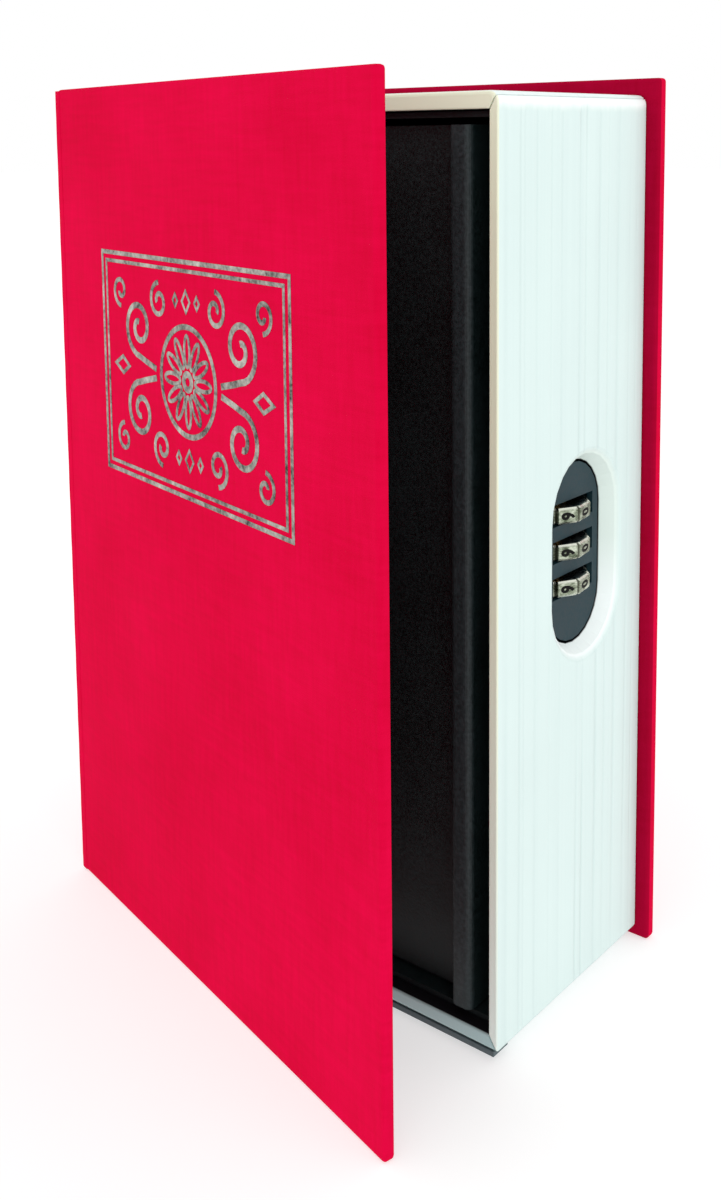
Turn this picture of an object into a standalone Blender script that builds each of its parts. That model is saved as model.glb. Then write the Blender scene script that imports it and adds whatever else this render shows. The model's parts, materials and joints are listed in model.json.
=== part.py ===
"""A book safe: a cloth-covered dictionary whose page block hides a steel box behind a three-dial lock.

Frame: the book stands on its tail. +X runs from the spine to the fore-edge, +Y from the front
cover to the back cover, +Z from tail to head. Sizes below are in the book's own coordinates:
x = 0 is the fore-edge face of the page block, y = 0 the plane of its front rim, z = 0 the surface
that the covers stand on. The whole book is then moved so that the origin is the middle of its
footprint.
"""

import math

import bmesh
import bpy
from mathutils import Matrix, Vector

MM = 0.001
GAP = 0.3 * MM  # what touching pieces keep between them

# Case: two boards and a spine, covered in cloth.
BOOK_HEIGHT = 180 * MM
OVERHANG = 2.8 * MM  # of the covers beyond the fore-edge
FRONT_BOARD_THICK = 2.4 * MM
BACK_BOARD_THICK = 3.0 * MM
SPINE_THICK = 2.6 * MM
BOARD_ROUND = 0.7 * MM
SPINE_FACE_X = -112.6 * MM  # outer face of the spine
COVER_AJAR = math.radians(14.45)

# Cloth joint of the front cover: the axis of its fold.
JOINT_X = -113.9 * MM
BOARD_PROUD = 0.3 * MM  # of the front board's outer face, past the fold's axis
JOINT_Y = BOARD_PROUD - FRONT_BOARD_THICK - GAP
JOINT_ROLL = 0.4 * MM
JOINT_END = 0.6 * MM  # from the roll's ends to the board's
JOINT_TO_BOARD = 0.7 * MM

# Page block: four white rails with mitred corners.
BLOCK_DEPTH = 52.3 * MM
BLOCK_BOTTOM = 2.5 * MM
BLOCK_TOP = 176.7 * MM
BLOCK_SPINE_X = -109.7 * MM
FORE_EDGE_THICK = 1.7 * MM
HEAD_THICK = 3.1 * MM
TAIL_THICK = 2.8 * MM
SPINE_RAIL_THICK = 2.7 * MM
RAIL_ROUND = 0.9 * MM  # of the front outer edges
RAIL_INNER_ROUND = 0.4  # share of that on the inner edges
HEAD_CORNER_ROUND = 2.0 * MM  # between the fore-edge and the head
STRIP_HEIGHT = 1.0 * MM
STRIP_DEPTH = 5.0 * MM

# Steel box inside the page block.
TRAY_WALL = 1.0 * MM
TRAY_FRONT = 3.0 * MM

# Lock: a stack of three dials on a spindle along Z, seen through a recess in the fore-edge.
LOCK_Y = 31.1 * MM
RECESS_Z = 88.8 * MM
RECESS_HALF_WIDTH = 12.2 * MM
RECESS_HALF_HEIGHT = 20.2 * MM
PLATE_FRONT_X = -3.25 * MM
PLATE_THICK = 1.2 * MM
PLATE_HALF_WIDTH = 9.3 * MM
PLATE_HALF_HEIGHT = 17.7 * MM
PLATE_GAP = 0.5 * MM  # round the plate, in the recess
SPINDLE_X = -8.9 * MM
SPINDLE_R = 1.45 * MM
DIAL_STACK_Z = 89.65 * MM
DIAL_PITCH = 7.2 * MM
DIAL_HEIGHT = 3.1 * MM
DIAL_FACE_TURN = math.radians(7)  # of the dials' faces at rest, past square to the window
DIAL_APOTHEM = 7.89 * MM
DIGITS = 10
DIALS = 3
WINDOW_HALF_WIDTH = 7.35 * MM
WINDOW_HEIGHT = 4.3 * MM
WINDOW_ABOVE_DIAL = 0.3 * MM  # from the dial's middle to the window's
HEX_APOTHEM = 3.3 * MM  # of the code sleeve's hub, which keys it to its dial
FLANGE_R = 4.1 * MM
GATE_WIDTH = 2.6 * MM
FINGER_LOW = 2.15 * MM  # underside of each bolt finger above its dial's centre, bolt drawn back
BOLT_TRAVEL = 2.2 * MM

# Pad behind the recess, which carries the lock.
PAD_BACK_X = -5.5 * MM
PAD_Y = (12.6 * MM, 49.6 * MM)
PAD_Z = (63.0 * MM, 115.0 * MM)
LOCK_SCREW_Y = (15.6 * MM, 46.4 * MM)
LOCK_SCREW_Z = (66.0 * MM, 112.0 * MM)

# Lock case behind the pad, and what is in it.
LOCK_FRONT_X = PAD_BACK_X - 1.6 * MM
LOCK_BACK_X = -24.6 * MM
LOCK_SIDE_Y = (17.2 * MM, 42.4 * MM)
LOCK_END_Z = (73.0 * MM, 110.0 * MM)
LOCK_WALL = 1.4 * MM
LOCK_FLANGE_THICK = 1.4 * MM
SPINDLE_HEAD_R = 1.8 * MM
SPINDLE_CLIP_R = 2.05 * MM
SLEEVE_NECK_R = 2.6 * MM
SLEEVE_TOP = 5.2 * MM  # above its dial's middle
SLEEVE_BOTTOM = -1.6 * MM
BOLT_X = (-18.5 * MM, -7.9 * MM)
BOLT_Z = (81.0 * MM, 101.0 * MM)
BOLT_THICK = 1.4 * MM
NOSE_X = (-16.3 * MM, -12.7 * MM)
NOSE_Z = (100.0 * MM, 103.8 * MM, 104.8 * MM)  # its foot, the start of its taper and its tip
FINGER_THICK = 0.7 * MM
FINGER_REACH_Y = LOCK_Y - 2.95 * MM
GUIDE_X = -14.5 * MM
GUIDE_Z = (85.0 * MM, 95.0 * MM)
STRIKE_PORT_X = (-20.6 * MM, -8.4 * MM)
STRIKE_PORT_Z = (104.4 * MM, 107.2 * MM)
DETENT_X = (-11.4 * MM, -7.4 * MM)
DETENT_Z = (80.0 * MM, 100.4 * MM)
DETENT_THICK = 0.4 * MM

# Inner door: a steel sheet with a rolled finger flange along its free edge.
DOOR_SHEET = 1.2 * MM
DOOR_FRONT_Y = 6.0 * MM
DOOR_BOTTOM = 7.4 * MM
DOOR_TOP = 171.0 * MM
DOOR_HINGE_X = -103.0 * MM
DOOR_HINGE_Y = 6.0 * MM
FLANGE_LEFT_X = -11.2 * MM
FLANGE_RIGHT_X = -6.5 * MM
FLANGE_NOSE_Y = 1.0 * MM
FLANGE_CORNER = 1.5 * MM
FLANGE_SKIRT_Y = 12.0 * MM
HINGE_Z = (42.0 * MM, 136.0 * MM)
HINGE_LENGTH = 24.0 * MM
BARREL_R = 1.5 * MM
PIN_R = 0.5 * MM
LEAF_THICK = 0.8 * MM
STRIKE_X = (-18.6 * MM, -10.4 * MM)
STRIKE_Z = 105.2 * MM  # underside of its tongue
STRIKE_PLATE_DROP = 9.0 * MM
STRIKE_TIP_Y = 22.6 * MM
STRIKE_SHEET = 1.2 * MM
STRIKE_SLOT_Y = (18.8 * MM, 21.2 * MM)

FLOOR_SCREWS = ((-88 * MM, 24 * MM), (-88 * MM, 155 * MM), (-34 * MM, 24 * MM), (-34 * MM, 155 * MM))


def board_length():
    """Length of the front board along X, from the cloth joint to beyond the fore-edge."""
    return OVERHANG - JOINT_X - JOINT_TO_BOARD


def footprint_shift():
    """What moves the footprint's middle, with the cover ajar, to the origin."""
    back_y = BLOCK_DEPTH + GAP + BACK_BOARD_THICK
    reach = JOINT_TO_BOARD + board_length() - BOARD_ROUND
    outer = BOARD_ROUND - BOARD_PROUD
    front_y = JOINT_Y - reach * math.sin(COVER_AJAR) + outer * math.cos(COVER_AJAR) - BOARD_ROUND
    left_x = JOINT_X - JOINT_ROLL
    return Vector((-(left_x + OVERHANG) / 2, -(front_y + back_y) / 2, 0))


SHIFT = footprint_shift()
MATERIALS = {
    "book_cloth": ((0.62, 0.01, 0.06), 0.55, 0.0),
    "page_white": ((0.83, 0.88, 0.86), 0.5, 0.0),
    "edge_strip": ((0.06, 0.09, 0.10), 0.6, 0.0),
    "black_steel": ((0.012, 0.014, 0.016), 0.45, 0.0),
    "plain_steel": ((0.55, 0.55, 0.54), 0.35, 1.0),
    "bezel_paint": ((0.05, 0.07, 0.09), 0.45, 0.0),
    "dial_nickel": ((0.50, 0.48, 0.38), 0.35, 1.0),
    "zinc_casting": ((0.42, 0.43, 0.44), 0.5, 1.0),
    "brass": ((0.65, 0.47, 0.20), 0.35, 1.0),
}


def material(name):
    """The named Principled material, made once for each piece that uses it."""
    colour, roughness, metallic = MATERIALS[name]
    mat = bpy.data.materials.new(name)
    mat.use_nodes = True
    shader = mat.node_tree.nodes["Principled BSDF"]
    shader.inputs["Base Color"].default_value = (*colour, 1)
    shader.inputs["Roughness"].default_value = roughness
    shader.inputs["Metallic"].default_value = metallic
    return mat


def add_object(name, bm, finish=None, origin=(0, 0, 0), turn=0.0):
    """A mesh object from bm, whose points are given from origin, turned about Z at that origin."""
    bmesh.ops.recalc_face_normals(bm, faces=bm.faces)
    mesh = bpy.data.meshes.new(name)
    bm.to_mesh(mesh)
    bm.free()
    obj = bpy.data.objects.new(name, mesh)
    bpy.context.scene.collection.objects.link(obj)
    obj.location = Vector(origin) + SHIFT
    obj.rotation_euler = (0, 0, turn)
    mesh.shade_smooth()
    mesh.set_sharp_from_angle(angle=math.radians(35))
    if finish:
        mesh.materials.append(material(finish))
    else:
        obj.hide_render = True
        obj.hide_viewport = True
        obj.display_type = "WIRE"
    return obj


def put_box(bm, low, high):
    """Adds a box between two corners to bm."""
    low, high = Vector(low), Vector(high)
    made = bmesh.ops.create_cube(bm, size=1)
    size = high - low
    middle = (low + high) / 2
    bmesh.ops.transform(
        bm, matrix=Matrix.Translation(middle) @ Matrix.Diagonal((*size, 1)), verts=made["verts"]
    )


def box(low, high):
    bm = bmesh.new()
    put_box(bm, low, high)
    return bm


def rings(loops):
    """A closed solid through matching loops of points, capped at the first and the last."""
    bm = bmesh.new()
    made = [[bm.verts.new(p) for p in loop] for loop in loops]
    count = len(made[0])
    for a, b in zip(made, made[1:]):
        for i in range(count):
            bm.faces.new((a[i], a[(i + 1) % count], b[(i + 1) % count], b[i]))
    bm.faces.new(made[0])
    bm.faces.new(made[-1])
    return bm


def prism(outline, along, start, end):
    """The outline extruded along an axis. Its two coordinates are the other axes, in X, Y, Z order."""

    def place(a, b, t):
        return {"X": (t, a, b), "Y": (a, t, b), "Z": (a, b, t)}[along]

    return rings([[place(a, b, t) for a, b in outline] for t in (start, end)])


def circle(radius, count=24, centre=(0, 0)):
    step = 2 * math.pi / count
    return [
        (centre[0] + radius * math.cos(i * step), centre[1] + radius * math.sin(i * step))
        for i in range(count)
    ]


def arc(centre, radius, first, last, steps):
    """Points on an arc, by angles in degrees."""
    turns = [math.radians(first + (last - first) * i / steps) for i in range(steps + 1)]
    return [(centre[0] + radius * math.cos(t), centre[1] + radius * math.sin(t)) for t in turns]


def stadium(half_width, half_height, centre=(LOCK_Y, RECESS_Z), steps=12):
    """An upright slot with round ends, as (y, z) points."""
    straight = half_height - half_width
    upper = arc((centre[0], centre[1] + straight), half_width, 0, 180, steps)
    lower = arc((centre[0], centre[1] - straight), half_width, 180, 360, steps)
    return upper + lower


def boolean(obj, other, operation):
    """Joins a guide to obj, or cuts it away, with Blender's exact solver."""
    mod = obj.modifiers.new(operation.lower(), "BOOLEAN")
    mod.operation = operation
    mod.object = other
    mod.solver = "EXACT"


def cut(obj, bm, origin=(0, 0, 0), turn=0.0):
    boolean(obj, add_object(obj.name + "_cutter", bm, None, origin, turn), "DIFFERENCE")


def add_to(obj, bm, origin=(0, 0, 0), turn=0.0):
    boolean(obj, add_object(obj.name + "_extra", bm, None, origin, turn), "UNION")


def soften(obj, width, segments=2):
    """Rounds the edges of obj with a Bevel modifier."""
    mod = obj.modifiers.new("soften", "BEVEL")
    mod.width = width
    mod.segments = segments
    mod.limit_method = "ANGLE"
    mod.angle_limit = math.radians(40)


def coil(name, finish, centre, wire, radius, bottom, top, turns, per_turn=12, sides=6):
    """A compression spring along Z, as one closed tube."""
    bm_loops = []
    steps = int(turns * per_turn)
    for i in range(steps + 1):
        turn = 2 * math.pi * i / per_turn
        height = bottom + wire + (top - bottom - 2 * wire) * i / steps
        out = Vector((math.cos(turn), math.sin(turn), 0))
        middle = Vector((*centre, height)) + out * radius
        bm_loops.append(
            [middle + out * (wire * math.cos(a)) + Vector((0, 0, wire * math.sin(a)))
             for a in (2 * math.pi * k / sides for k in range(sides))]
        )
    return add_object(name, rings(bm_loops), finish)


def screw(name, finish, along, point, head_r, head_length, shank_r, shank_length, away):
    """A pan-head screw whose head's underside is at point. away is +1 or -1: the way the head points."""
    profile = [(shank_r, -away * shank_length), (shank_r, 0), (head_r, 0)]
    profile += [(head_r, away * head_length * 0.55), (head_r * 0.7, away * head_length)]

    def ring(radius, offset):
        loop = []
        for a, b in circle(radius, 16):
            loop.append((point[0] + offset, point[1] + a, point[2] + b) if along == "X"
                        else (point[0] + a, point[1] + offset, point[2] + b))
        return loop

    return add_object(name, rings([ring(r, t) for r, t in profile]), finish)


def build_case():
    """The cloth-covered boards and the roll of cloth that the front cover turns on."""
    joint = (JOINT_X, JOINT_Y, 0)
    near, far = JOINT_TO_BOARD, JOINT_TO_BOARD + board_length()
    front = add_object(
        "front_board",
        box((near, -BOARD_PROUD, 0), (far, FRONT_BOARD_THICK - BOARD_PROUD, BOOK_HEIGHT)),
        "book_cloth", joint, -COVER_AJAR,
    )
    soften(front, BOARD_ROUND, 3)
    roll = prism(circle(JOINT_ROLL, 16), "Z", JOINT_END, BOOK_HEIGHT - JOINT_END)
    add_object("front_joint_cloth", roll, "book_cloth", joint)

    back_y = BLOCK_DEPTH + GAP
    back = add_object(
        "back_board",
        box((SPINE_FACE_X, back_y, 0), (OVERHANG, back_y + BACK_BOARD_THICK, BOOK_HEIGHT)),
        "book_cloth",
    )
    soften(back, BOARD_ROUND, 3)
    for x, z in FLOOR_SCREWS:
        hole = prism(circle(1.6 * MM, 16, (x, z)), "Y", back_y - 1 * MM, back_y + 2.3 * MM)
        cut(back, hole)
    spine = add_object(
        "spine_board",
        box((SPINE_FACE_X, 0.15 * MM, 0), (SPINE_FACE_X + SPINE_THICK, BLOCK_DEPTH, BOOK_HEIGHT)),
        "book_cloth",
    )
    soften(spine, BOARD_ROUND, 3)


def rail(name, outer, inner):
    """One white rail of the page block, from the outer and inner points of its mitred outline."""
    outline = outer + inner
    made = add_object(name, prism(outline, "Y", 0, BLOCK_DEPTH), "page_white")
    weights = made.data.attributes.new("bevel_weight_edge", "FLOAT", "EDGE")
    for edge in made.data.edges:
        first, last = sorted(edge.vertices)
        if last == first + 1 and last < len(outer):
            weights.data[edge.index].value = 1.0
        elif last == first + 1 and len(outer) <= first and last < len(outline):
            weights.data[edge.index].value = RAIL_INNER_ROUND
    mod = made.modifiers.new("soften", "BEVEL")
    mod.width = RAIL_ROUND
    mod.segments = 3
    mod.limit_method = "WEIGHT"
    return made


def head_corner(inner):
    """Points of the rounded head corner, split at the mitre into the head's and the fore-edge's."""
    radius, high = HEAD_CORNER_ROUND, BLOCK_TOP
    mitre = Vector((0, high)) - Vector(inner)
    points = arc((-radius, high - radius), radius, 90, 0, 10)
    sides = [mitre.cross(Vector(p) - Vector(inner)) for p in points]
    head = [p for p, side in zip(points, sides) if side > 0.1 * MM * mitre.length]
    edge = [p for p, side in zip(points, sides) if side < -0.1 * MM * mitre.length]
    low, high_side = Vector(edge[0]), Vector(head[-1])
    share = sides[len(head) - 1] / (sides[len(head) - 1] - sides[-len(edge)])
    meet = high_side.lerp(low, share)
    across = mitre.normalized().orthogonal() * (GAP / 2)
    if mitre.cross(across) < 0:
        across = -across
    return head + [tuple(meet + across)], [tuple(meet - across)] + edge


def build_page_block():
    """The four rails that look like the edges of the pages."""
    left, low, high = BLOCK_SPINE_X, BLOCK_BOTTOM, BLOCK_TOP
    inner_left, inner_right = left + SPINE_RAIL_THICK, -FORE_EDGE_THICK
    inner_low, inner_high = low + TAIL_THICK, high - HEAD_THICK
    slit = GAP / 2
    head, edge = head_corner((inner_right, inner_high))
    rail("page_head", [(left + slit, high)] + head,
         [(inner_right - slit, inner_high), (inner_left + slit, inner_high)])
    rail("page_tail", [(left + slit, low), (-slit, low)],
         [(inner_right - slit, inner_low), (inner_left + slit, inner_low)])
    rail("page_spine_rail", [(left, low + 2 * slit), (left, high - 2 * slit)],
         [(inner_left, inner_high - 2 * slit), (inner_left, inner_low + 2 * slit)])
    fore_edge = rail("page_fore_edge", edge + [(0, low + 2 * slit)],
                     [(inner_right, inner_low + 2 * slit), (inner_right, inner_high - 2 * slit)])
    add_to(fore_edge, box((PAD_BACK_X, PAD_Y[0], PAD_Z[0]), (-1.0 * MM, PAD_Y[1], PAD_Z[1])))
    cut(fore_edge, recess_cutter())
    for y in LOCK_SCREW_Y:
        for z in LOCK_SCREW_Z:
            cut(fore_edge, prism(circle(1.2 * MM, 16, (y, z)), "X", PAD_BACK_X - 1 * MM, -2.4 * MM))
    strip = box((left + 1 * MM, 0.3 * MM, low - GAP - STRIP_HEIGHT), (-0.9 * MM, STRIP_DEPTH, low - GAP))
    add_object("tail_edge_strip", strip, "edge_strip")


def recess_cutter():
    """The dished recess: a rounded lip, sloping walls, then a straight opening for the lock's plate."""
    slope = (RECESS_HALF_WIDTH - PLATE_HALF_WIDTH - PLATE_GAP) / -PLATE_FRONT_X
    levels = [(0.5 * MM, 1.5 * MM), (0.0, 0.9 * MM), (-0.3 * MM, 0.25 * MM), (-0.8 * MM, -0.45 * MM)]
    sizes = [(x, RECESS_HALF_WIDTH + more, RECESS_HALF_HEIGHT + more) for x, more in levels]
    foot = RECESS_HALF_WIDTH + slope * PLATE_FRONT_X
    seat_width, seat_height = PLATE_HALF_WIDTH + PLATE_GAP, PLATE_HALF_HEIGHT + PLATE_GAP
    assert abs(foot - seat_width) < 0.01 * MM
    sizes.append((PLATE_FRONT_X, seat_width, seat_height))
    sizes.append((PAD_BACK_X - 1 * MM, seat_width, seat_height))
    return rings([[(x, y, z) for y, z in stadium(w, h)] for x, w, h in sizes])


def build_tray():
    """The steel box, open at the front, with a cut-out for the lock's pad and four floor screws."""
    low = (BLOCK_SPINE_X + SPINE_RAIL_THICK + GAP, TRAY_FRONT, BLOCK_BOTTOM + TAIL_THICK + GAP)
    high = (-FORE_EDGE_THICK - GAP, BLOCK_DEPTH - GAP, BLOCK_TOP - HEAD_THICK - GAP)
    tray = add_object("steel_tray", box(low, high), "black_steel")
    hollow_low = (low[0] + TRAY_WALL, TRAY_FRONT - 1 * MM, low[2] + TRAY_WALL)
    hollow_high = tuple(v - TRAY_WALL for v in high)
    cut(tray, box(hollow_low, hollow_high))
    pad_low = (high[0] - 2 * MM, PAD_Y[0] - GAP, PAD_Z[0] - GAP)
    cut(tray, box(pad_low, (high[0] + 1 * MM, PAD_Y[1] + GAP, PAD_Z[1] + GAP)))
    floor_y = high[1] - TRAY_WALL
    for number, (x, z) in enumerate(FLOOR_SCREWS, 1):
        cut(tray, prism(circle(1.6 * MM, 16, (x, z)), "Y", floor_y - 1 * MM, floor_y + 2 * MM))
        screw(f"floor_screw_{number}", "plain_steel", "Y", (x, floor_y - GAP, z),
              3.0 * MM, 1.7 * MM, 1.3 * MM, 3.4 * MM, -1)


def door_profile():
    """The door's sheet in (x, y): a flat panel, a flange rolled forward, and a skirt behind it."""
    corner, inside = FLANGE_CORNER, FLANGE_CORNER - DOOR_SHEET
    middle_y = FLANGE_NOSE_Y + corner
    corner_left, corner_right = (FLANGE_LEFT_X + corner, middle_y), (FLANGE_RIGHT_X - corner, middle_y)
    front, rear = DOOR_FRONT_Y, DOOR_FRONT_Y + DOOR_SHEET
    hinge_edge = DOOR_HINGE_X + BARREL_R + GAP
    outer = [(hinge_edge, front), (FLANGE_LEFT_X, front)]
    outer += arc(corner_left, corner, 180, 270, 6) + arc(corner_right, corner, 270, 360, 6)
    outer += [(FLANGE_RIGHT_X, FLANGE_SKIRT_Y), (FLANGE_RIGHT_X - DOOR_SHEET, FLANGE_SKIRT_Y)]
    inner = arc(corner_right, inside, 360, 270, 3) + arc(corner_left, inside, 270, 180, 3)
    inner += [(FLANGE_LEFT_X + DOOR_SHEET, rear), (hinge_edge, rear)]
    return outer + inner


def from_hinge(points):
    """Outline points measured from the door's hinge axis."""
    return [(x - DOOR_HINGE_X, y - DOOR_HINGE_Y) for x, y in points]


def build_door():
    """The inner door with its strike, and two butt hinges on the tray's spine wall."""
    axis = (DOOR_HINGE_X, DOOR_HINGE_Y, 0)
    door = prism(from_hinge(door_profile()), "Z", DOOR_BOTTOM, DOOR_TOP)
    add_object("inner_door", door, "black_steel", axis)

    rear = DOOR_FRONT_Y + DOOR_SHEET + GAP - DOOR_HINGE_Y
    left, right = (x - DOOR_HINGE_X for x in STRIKE_X)
    foot, under, over = STRIKE_Z - STRIKE_PLATE_DROP, STRIKE_Z, STRIKE_Z + STRIKE_SHEET
    tip = STRIKE_TIP_Y - DOOR_HINGE_Y
    profile = [(rear, foot), (rear + STRIKE_SHEET, foot), (rear + STRIKE_SHEET, under)]
    profile += [(tip, under), (tip, over), (rear, over)]
    strike = add_object("door_strike", prism(profile, "X", left, right), "plain_steel", axis)
    slot_low = (left + 1.6 * MM, STRIKE_SLOT_Y[0] - DOOR_HINGE_Y, under - 1 * MM)
    slot_high = (right - 1.6 * MM, STRIKE_SLOT_Y[1] - DOOR_HINGE_Y, under + 2 * MM)
    cut(strike, box(slot_low, slot_high), axis)

    for place, z in zip(("lower", "upper"), HINGE_Z):
        build_hinge(place, z - HINGE_LENGTH / 2)


def build_hinge(place, bottom):
    """A butt hinge: a fixed leaf with two knuckles, a moving leaf with one between them, and a pin."""
    axis = (DOOR_HINGE_X, DOOR_HINGE_Y, bottom)
    third = HINGE_LENGTH / 3
    bore = PIN_R + 0.15 * MM
    wall_x = BLOCK_SPINE_X + SPINE_RAIL_THICK + GAP + TRAY_WALL + GAP - DOOR_HINGE_X
    fixed = add_object(
        f"hinge_leaf_fixed_{place}",
        box((wall_x, -0.4 * MM, 0), (wall_x + LEAF_THICK, 12 * MM, HINGE_LENGTH)), "black_steel", axis,
    )
    for low in (0, 2 * third + GAP):
        high = low + third - GAP
        web = box((wall_x + LEAF_THICK / 2, -0.4 * MM, low), (-0.6 * MM, 0.4 * MM, high))
        add_to(fixed, web, axis)
        add_to(fixed, prism(circle(BARREL_R, 20), "Z", low, high), axis)
    cut(fixed, prism(circle(bore, 16), "Z", -1 * MM, HINGE_LENGTH + 1 * MM), axis)

    middle_low, middle_high = third + GAP / 2, 2 * third - GAP / 2
    leaf_near = BARREL_R + 1.2 * MM
    rear = DOOR_FRONT_Y + DOOR_SHEET + GAP - DOOR_HINGE_Y
    moving = add_object(
        f"hinge_leaf_moving_{place}",
        box((leaf_near, rear, 0), (11 * MM, rear + LEAF_THICK, HINGE_LENGTH)), "black_steel", axis,
    )
    add_to(moving, box((0, rear, middle_low), (leaf_near + 1 * MM, rear + LEAF_THICK, middle_high)), axis)
    web = box((-0.5 * MM, 0.9 * MM, middle_low), (0.5 * MM, rear + LEAF_THICK / 2, middle_high))
    add_to(moving, web, axis)
    add_to(moving, prism(circle(BARREL_R, 20), "Z", middle_low, middle_high), axis)
    cut(moving, prism(circle(bore, 16), "Z", -1 * MM, HINGE_LENGTH + 1 * MM), axis)
    pin = prism(circle(PIN_R, 16), "Z", -0.6 * MM, HINGE_LENGTH + 0.6 * MM)
    add_object(f"hinge_pin_{place}", pin, "plain_steel", axis)


def dial_outline(shrink=0.0):
    """Ten flat faces, with a shallow finger notch between each two."""
    apothem = DIAL_APOTHEM - shrink
    side = apothem * math.tan(math.pi / DIGITS)
    notch = 0.5 * MM
    points = []
    for i in range(DIGITS):
        face = DIAL_FACE_TURN + 2 * math.pi * i / DIGITS
        for along in (-side + notch, side - notch):
            points.append(turned(apothem, along, face))
        points.append(turned(apothem / math.cos(math.pi / DIGITS) - notch, 0, face + math.pi / DIGITS))
    return points


def turned(a, b, angle):
    return (a * math.cos(angle) - b * math.sin(angle), a * math.sin(angle) + b * math.cos(angle))


def hexagon_outline(apothem):
    """The six corners of a hexagon around the axis."""
    return circle(apothem / math.cos(math.pi / 6), 6)


def dial_mesh():
    """A dial around its own centre, with chamfered edges and no bore yet."""
    half, chamfer = DIAL_HEIGHT / 2, 0.4 * MM
    levels = ((chamfer, -half), (0, chamfer - half), (0, half - chamfer), (chamfer, half))
    return rings([[(x, y, z) for x, y in dial_outline(shrink)] for shrink, z in levels])


def build_dials():
    """Three dials, and the code sleeve that turns with each and carries its gate."""
    neck_r, bore_r = SLEEVE_NECK_R, SPINDLE_R + GAP
    flange_low = FINGER_LOW + FINGER_THICK + GAP
    flange_high = FINGER_LOW + BOLT_TRAVEL - GAP
    for i in range(DIALS):
        axis = (SPINDLE_X, LOCK_Y, DIAL_STACK_Z + (i - 1) * DIAL_PITCH)
        dial = add_object(f"dial_{i + 1}", dial_mesh(), "dial_nickel", axis)
        cut(dial, prism(hexagon_outline(HEX_APOTHEM + GAP), "Z", -3 * MM, 3 * MM), axis)
        profile = [(neck_r, 1.2 * MM), (neck_r, flange_low), (FLANGE_R, flange_low)]
        profile += [(FLANGE_R, flange_high), (neck_r, flange_high), (neck_r, SLEEVE_TOP)]
        loops = [[(x, y, z) for x, y in circle(r, 30)] for r, z in profile]
        sleeve = add_object(f"code_sleeve_{i + 1}", rings(loops), "brass", axis)
        add_to(sleeve, prism(hexagon_outline(HEX_APOTHEM), "Z", SLEEVE_BOTTOM, -SLEEVE_BOTTOM), axis)
        gate_low = (-GATE_WIDTH / 2, -8 * MM, flange_low - 0.1 * MM)
        cut(sleeve, box(gate_low, (GATE_WIDTH / 2, -2.8 * MM, flange_high + 1 * MM)), axis)
        cut(sleeve, prism(circle(bore_r, 20), "Z", -3 * MM, 7 * MM), axis)


def build_lock_case():
    """The cast case behind the fore-edge, the plate with its three windows, and four screws."""
    flange_back = LOCK_FRONT_X - LOCK_FLANGE_THICK
    side_low, side_high = LOCK_SIDE_Y
    end_low, end_high = LOCK_END_Z
    case = add_object(
        "lock_case",
        box((LOCK_BACK_X, side_low, end_low), (LOCK_FRONT_X, side_high, end_high)),
        "zinc_casting",
    )
    flange_low = (flange_back, PAD_Y[0] + 0.8 * MM, PAD_Z[0] + 0.8 * MM)
    add_to(case, box(flange_low, (LOCK_FRONT_X, PAD_Y[1] - 0.8 * MM, PAD_Z[1] - 0.8 * MM)))
    room_low = (LOCK_BACK_X + LOCK_WALL, side_low + LOCK_WALL, end_low + LOCK_WALL)
    cut(case, box(room_low, (LOCK_FRONT_X + 1 * MM, side_high - LOCK_WALL, end_high - LOCK_WALL)))
    spindle = (SPINDLE_X, LOCK_Y, 0)
    cut(case, prism(circle(SPINDLE_R + GAP, 20), "Z", end_low - 1 * MM, end_high + 1 * MM), spindle)
    for low, high in ((end_low - 3 * MM, end_low - 0.1 * MM), (end_high + 0.1 * MM, end_high + 3 * MM)):
        cut(case, prism(circle(3 * MM, 20), "Z", low, high), spindle)
    through_wall = (side_low - 1 * MM, side_low + LOCK_WALL + 1 * MM)
    port_low = (STRIKE_PORT_X[0], through_wall[0], STRIKE_PORT_Z[0])
    cut(case, box(port_low, (STRIKE_PORT_X[1], through_wall[1], STRIKE_PORT_Z[1])))
    for z in GUIDE_Z:
        cut(case, prism(circle(1.2 * MM, 16, (GUIDE_X, z)), "Y", *through_wall))
    head = flange_back - GAP
    number = 0
    for y in LOCK_SCREW_Y:
        for z in LOCK_SCREW_Z:
            number += 1
            cut(case, prism(circle(1.3 * MM, 16, (y, z)), "X", flange_back - 1 * MM, LOCK_FRONT_X + 1 * MM))
            screw(f"lock_screw_{number}", "plain_steel", "X", (head, y, z),
                  1.9 * MM, 1.2 * MM, 0.9 * MM, 5.6 * MM, -1)

    build_lock_plate()


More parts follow.
